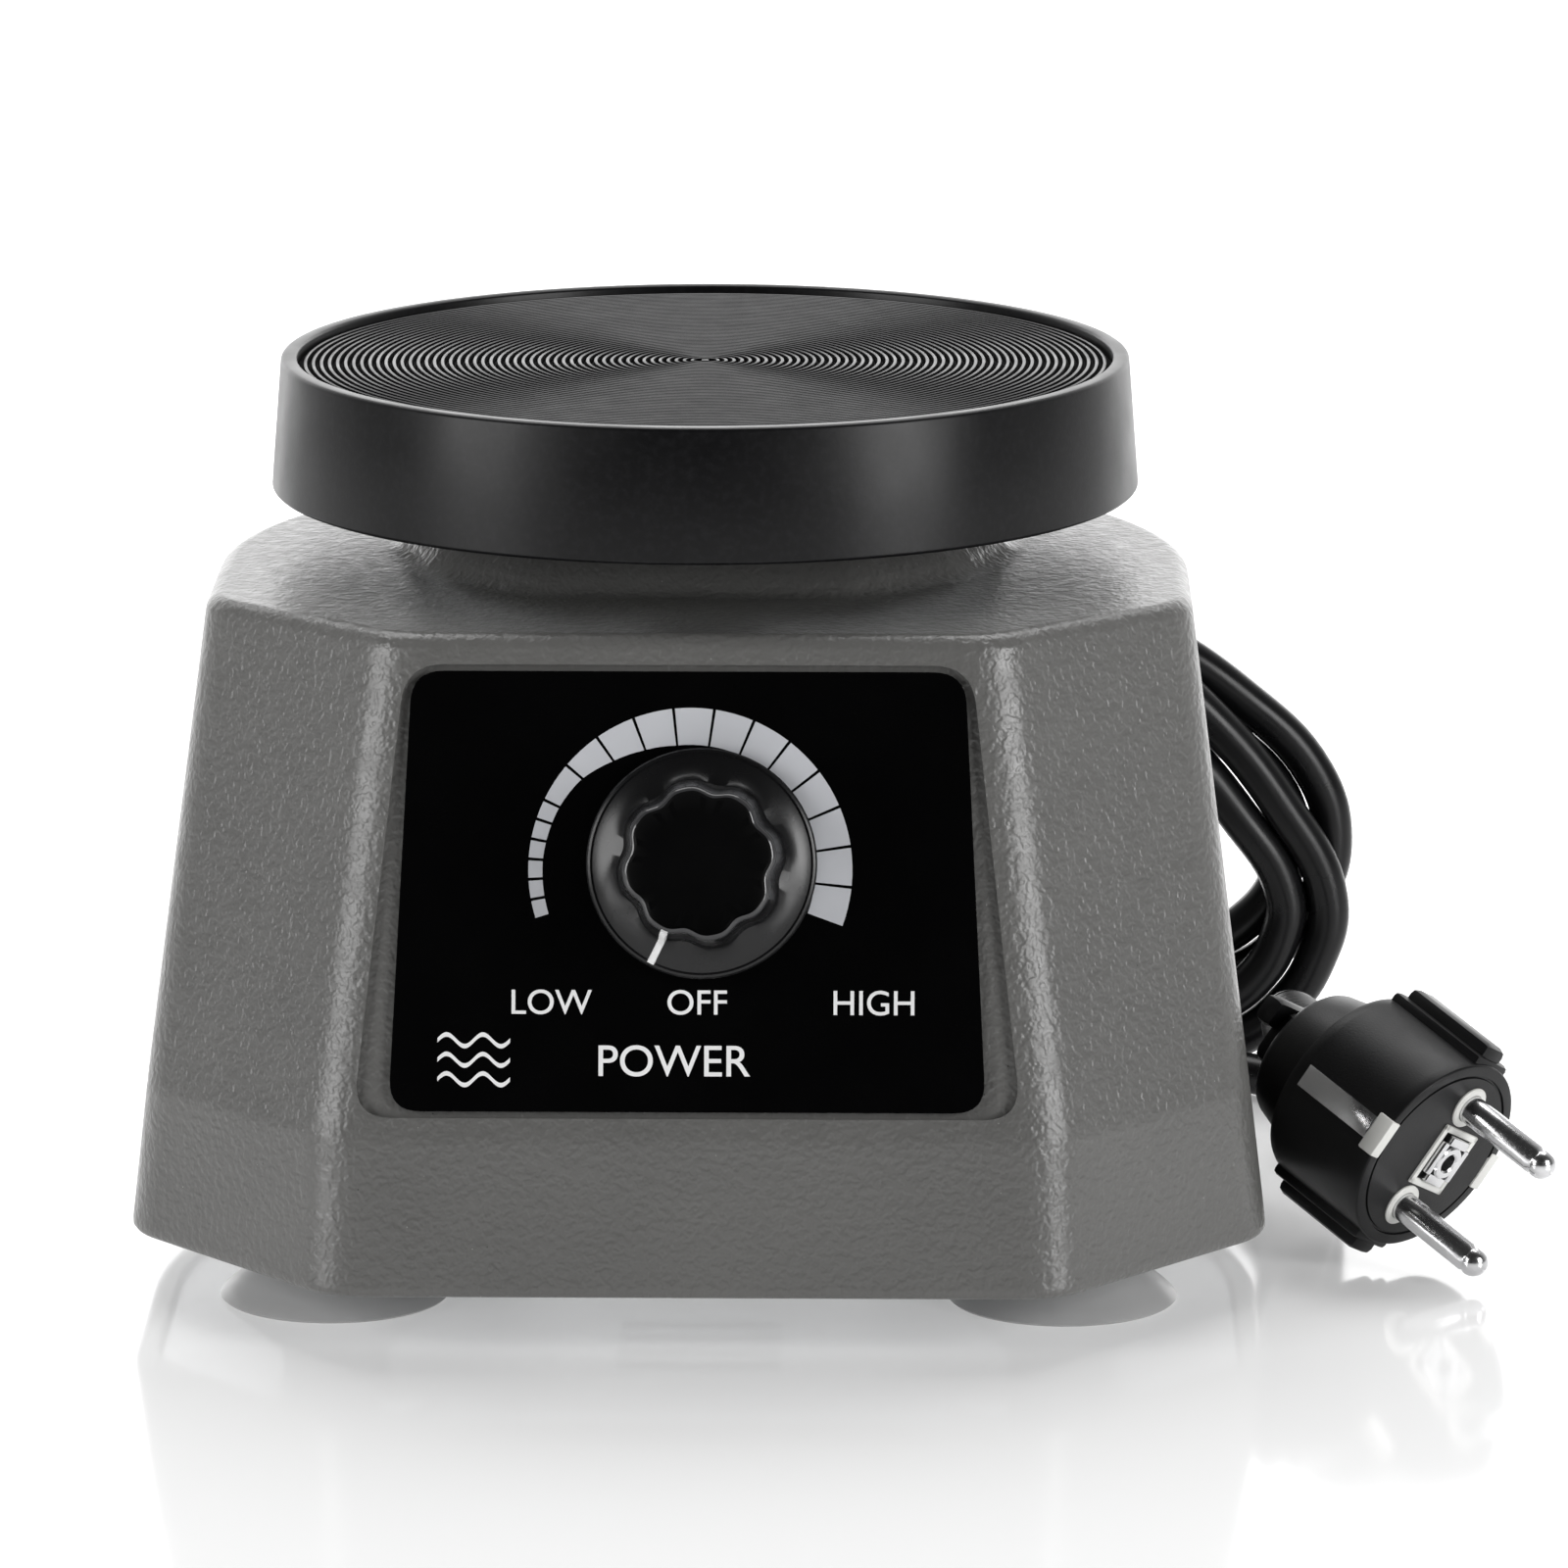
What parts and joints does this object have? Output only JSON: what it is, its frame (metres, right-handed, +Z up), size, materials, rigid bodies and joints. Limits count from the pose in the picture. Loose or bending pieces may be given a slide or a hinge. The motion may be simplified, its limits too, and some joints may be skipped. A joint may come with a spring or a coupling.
{
  "type": "plaster vibrator",
  "caption": "Round vibrating table on a heavy cast base with a leaning control panel, a power knob, suction cup feet and a mains lead.",
  "frame": {"origin": "on the vibrating table's axis, at the surface the suction cups stand on", "axes": "+Z up along the table's axis, -Y out of the control panel, +X to the right when facing the panel"},
  "size_m": [0.2266, 0.2435, 0.1423],
  "materials": {
    "painted_casting": "semi-gloss textured grey enamel",
    "black_rubber": "satin",
    "grey_rubber": "smooth",
    "panel": "satin film",
    "black_plastic": "satin",
    "plug_plastic": "fine moulded grain",
    "white_plastic": "smooth",
    "lead_sheath": "satin",
    "plated": "nickel plated",
    "bright_steel": "zinc plated",
    "laminations": "stacked electrical steel",
    "turned_aluminium": "machined",
    "copper": "enamelled wire",
    "circuit_board": "solder mask",
    "capacitor_case": "moulded",
    "wire_red": "smooth"
  },
  "bodies": {
    "base": {"housing": "painted_casting", "base_plate": "bright_steel", "base_screw_1": "bright_steel", "base_screw_2": "bright_steel", "base_screw_3": "bright_steel", "base_screw_4": "bright_steel", "suction_cup_1": "grey_rubber", "suction_cup_2": "grey_rubber", "suction_cup_3": "grey_rubber", "suction_cup_4": "grey_rubber", "cup_screw_1": "bright_steel", "cup_screw_2": "bright_steel", "cup_screw_3": "bright_steel", "cup_screw_4": "bright_steel", "magnet_core": "laminations", "coil_bobbin": "white_plastic", "copper_winding": "copper", "core_clamp_left": "bright_steel", "core_clamp_right": "bright_steel", "spring_post_1": "turned_aluminium", "spring_post_2": "turned_aluminium", "spring_post_3": "turned_aluminium", "spring_post_4": "turned_aluminium", "table_spring_1": "bright_steel", "table_spring_2": "bright_steel", "table_spring_3": "bright_steel", "table_spring_4": "bright_steel", "stem_seal": "black_rubber", "front_panel": "panel", "potentiometer": "bright_steel", "potentiometer_nut": "plated", "circuit_board": "circuit_board", "board_pillar_left": "turned_aluminium", "board_pillar_right": "turned_aluminium", "capacitor": "capacitor_case", "triac": "black_plastic", "terminal_block": "white_plastic", "earth_screw": "copper", "control_wires": "wire_red", "inner_lead": "lead_sheath", "cable_gland": "black_plastic", "gland_nut": "bright_steel", "cable_boot": "black_rubber", "lead_run": "lead_sheath", "lead_coil": "lead_sheath", "lead_tie": "white_plastic", "lead_tail": "lead_sheath", "plug_body": "plug_plastic", "plug_pin_upper": "plated", "plug_pin_lower": "plated"},
    "table": {"armature": "laminations", "spring_carrier": "turned_aluminium", "table_stem": "bright_steel", "table_plate": "turned_aluminium", "table_screw": "bright_steel", "rubber_cover": "black_rubber"},
    "knob": {"knob": "black_plastic", "knob_set_screw": "bright_steel", "potentiometer_shaft": "plated"}
  },
  "joints": [
    {"name": "table_vibration", "type": "slide", "parent": "base", "child": "table", "axis": [0, 0, 1], "range_m": [-0.001, 0.001], "stiffness_N_per_m": 20000, "springref_m": 0.0004, "deforming": ["table_spring_1", "table_spring_2", "table_spring_3", "table_spring_4"]},
    {"name": "knob_turn", "type": "hinge", "parent": "base", "child": "knob", "pos_m": [0.0014, -0.0826, 0.0768], "axis": [0, 0.9737, -0.228], "range_deg": [0, 270]}
  ]
}
